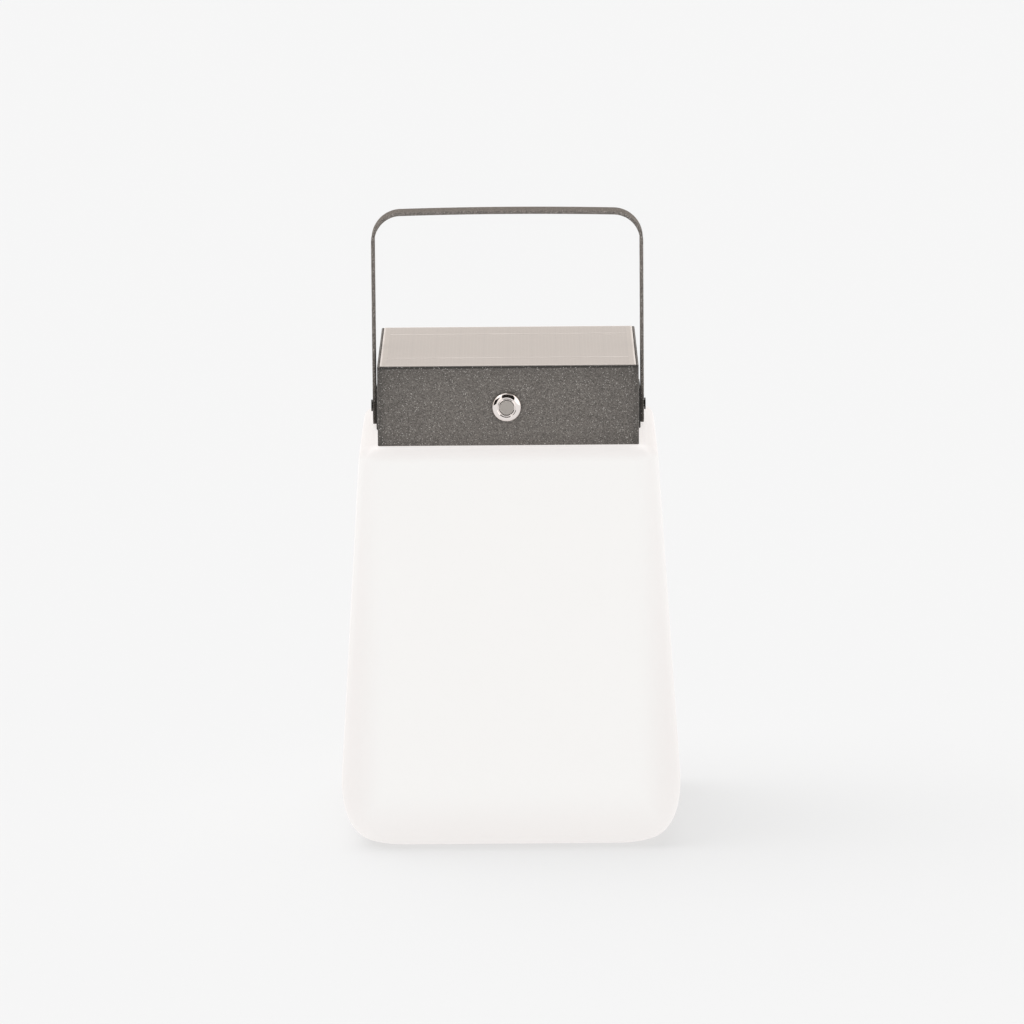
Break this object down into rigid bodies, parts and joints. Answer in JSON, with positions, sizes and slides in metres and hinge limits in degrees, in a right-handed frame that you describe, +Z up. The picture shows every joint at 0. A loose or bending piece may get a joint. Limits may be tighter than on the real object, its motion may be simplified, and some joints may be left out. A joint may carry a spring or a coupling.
{
  "type": "solar lantern",
  "caption": "Square tapered glowing shade under a painted steel casing with a solar panel on top, a push button in front and a hinged flat strip handle.",
  "frame": {"origin": "middle of the flat bottom face, on the surface that the lantern stands on", "axes": "+Z up, the front with the push button faces -Y, the handle hinges about X"},
  "size_m": [0.2026, 0.2026, 0.3732],
  "materials": {
    "shade_plastic": "white translucent polyethylene, satin",
    "diffusing_plastic": "frosted",
    "painted_steel": "taupe textured powder coat with fine metallic fleck",
    "black_steel": "blackened, satin",
    "zinc_steel": "zinc plated",
    "polished_bezel": "polished",
    "satin_button": "satin",
    "brass": "plain",
    "black_rubber": "matte",
    "grey_foam": "closed-cell foam, matte",
    "panel_cover_sheet": "clear, glossy",
    "silicon_cells": "dark blue cells with fine silver lines",
    "panel_laminate": "white laminate",
    "white_board": "white",
    "green_board": "solder mask",
    "black_plastic": "moulded",
    "bare_aluminium": "satin",
    "led_phosphor": "yellow phosphor",
    "battery_sleeve": "shrink sleeve",
    "red_wire": "insulation",
    "black_wire": "insulation"
  },
  "bodies": {
    "lantern": {"base_plate": "painted_steel", "battery_cell": "battery_sleeve", "battery_contact_minus": "zinc_steel", "battery_contact_plus": "zinc_steel", "battery_holder": "black_plastic", "battery_wire": "red_wire", "board_connector": "white_board", "button_spring": "zinc_steel", "casing": "painted_steel", "cell_string": "silicon_cells", "circuit_board": "green_board", "circuit_screw_1": "zinc_steel", "circuit_screw_2": "zinc_steel", "circuit_standoff_1": "brass", "circuit_standoff_2": "brass", "contact_block": "black_plastic", "driver_chip": "black_plastic", "handle_nut_left": "zinc_steel", "handle_nut_right": "zinc_steel", "handle_plate_left": "painted_steel", "handle_plate_right": "painted_steel", "handle_screw_left": "black_steel", "handle_screw_right": "black_steel", "handle_washer_left": "zinc_steel", "handle_washer_right": "zinc_steel", "led_1": "led_phosphor", "led_2": "led_phosphor", "led_3": "led_phosphor", "led_4": "led_phosphor", "led_board": "white_board", "led_wire": "black_wire", "light_cover": "diffusing_plastic", "light_pan": "bare_aluminium", "light_screw_1": "zinc_steel", "light_screw_2": "zinc_steel", "light_screw_3": "zinc_steel", "panel_board": "panel_laminate", "panel_cover": "panel_cover_sheet", "panel_ledge": "zinc_steel", "panel_sealant": "panel_laminate", "panel_tape": "grey_foam", "panel_wire": "red_wire", "shade": "shade_plastic", "shade_gasket": "grey_foam", "shade_insert_1": "brass", "shade_insert_2": "brass", "shade_insert_3": "brass", "shade_insert_4": "brass", "shade_screw_1": "zinc_steel", "shade_screw_2": "zinc_steel", "shade_screw_3": "zinc_steel", "shade_screw_4": "zinc_steel", "switch_body": "polished_bezel", "switch_nut": "zinc_steel", "switch_seal": "black_rubber", "switch_terminal_1": "brass", "switch_terminal_2": "brass", "switch_wire": "black_wire"},
    "handle": {"handle": "painted_steel"},
    "button": {"button_cap": "satin_button"}
  },
  "joints": [
    {"name": "handle_hinge", "type": "hinge", "parent": "lantern", "child": "handle", "pos_m": [0, 0, 0.2538], "axis": [1, 0, 0], "range_deg": [-92, 92]},
    {"name": "button_press", "type": "slide", "parent": "lantern", "child": "button", "axis": [0, 1, 0], "range_m": [0, 0.002], "stiffness_N_per_m": 800, "springref_m": -0.001, "deforming": ["button_spring"]}
  ]
}
